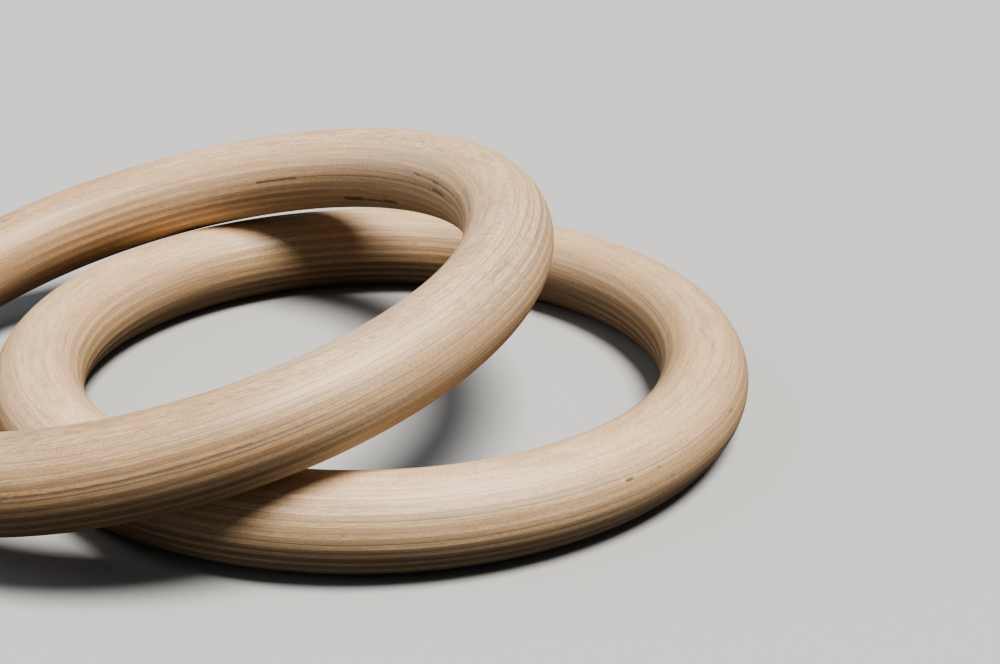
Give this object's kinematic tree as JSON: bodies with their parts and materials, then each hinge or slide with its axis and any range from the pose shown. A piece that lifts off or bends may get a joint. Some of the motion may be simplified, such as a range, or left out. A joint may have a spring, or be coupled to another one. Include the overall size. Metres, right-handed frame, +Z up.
{
  "type": "gymnastics rings",
  "caption": "Turned plywood gymnastics rings with a round grip section, one lying flat and the other leaning on it, each built up from flat glued plies.",
  "frame": {"origin": "on the floor, under the middle of the pair's bounding box", "axes": "+Z up, the axis of the flat ring; +X from the leaning ring's low end towards the flat ring; +Y across, towards the back"},
  "size_m": [0.2924, 0.235, 0.074],
  "materials": {
    "face_veneer": "sanded birch face veneer, satin, lightly waxed",
    "long_grain_ply": "sanded birch ply, grain along the ring's local X or Y, satin",
    "cross_grain_ply": "sanded birch ply, grain at right angles to its neighbours, satin"
  },
  "bodies": {
    "lower_ring": {"lower_ring_ply_01": "face_veneer", "lower_ring_ply_02": "cross_grain_ply", "lower_ring_ply_03": "long_grain_ply", "lower_ring_ply_04": "cross_grain_ply", "lower_ring_ply_05": "long_grain_ply", "lower_ring_ply_06": "cross_grain_ply", "lower_ring_ply_07": "long_grain_ply", "lower_ring_ply_08": "cross_grain_ply", "lower_ring_ply_09": "long_grain_ply", "lower_ring_ply_10": "cross_grain_ply", "lower_ring_ply_11": "long_grain_ply", "lower_ring_ply_12": "cross_grain_ply", "lower_ring_ply_13": "long_grain_ply", "lower_ring_ply_14": "cross_grain_ply", "lower_ring_ply_15": "long_grain_ply", "lower_ring_ply_16": "cross_grain_ply", "lower_ring_ply_17": "long_grain_ply", "lower_ring_ply_18": "cross_grain_ply", "lower_ring_ply_19": "face_veneer"},
    "upper_ring": {"upper_ring_ply_01": "face_veneer", "upper_ring_ply_02": "cross_grain_ply", "upper_ring_ply_03": "long_grain_ply", "upper_ring_ply_04": "cross_grain_ply", "upper_ring_ply_05": "long_grain_ply", "upper_ring_ply_06": "cross_grain_ply", "upper_ring_ply_07": "long_grain_ply", "upper_ring_ply_08": "cross_grain_ply", "upper_ring_ply_09": "long_grain_ply", "upper_ring_ply_10": "cross_grain_ply", "upper_ring_ply_11": "long_grain_ply", "upper_ring_ply_12": "cross_grain_ply", "upper_ring_ply_13": "long_grain_ply", "upper_ring_ply_14": "cross_grain_ply", "upper_ring_ply_15": "long_grain_ply", "upper_ring_ply_16": "cross_grain_ply", "upper_ring_ply_17": "long_grain_ply", "upper_ring_ply_18": "cross_grain_ply", "upper_ring_ply_19": "face_veneer"}
  },
  "joints": [
    {"name": "upper_ring_lift", "type": "slide", "parent": "lower_ring", "child": "upper_ring", "axis": [0, 0, 1], "range_m": [0, 0.25]}
  ]
}
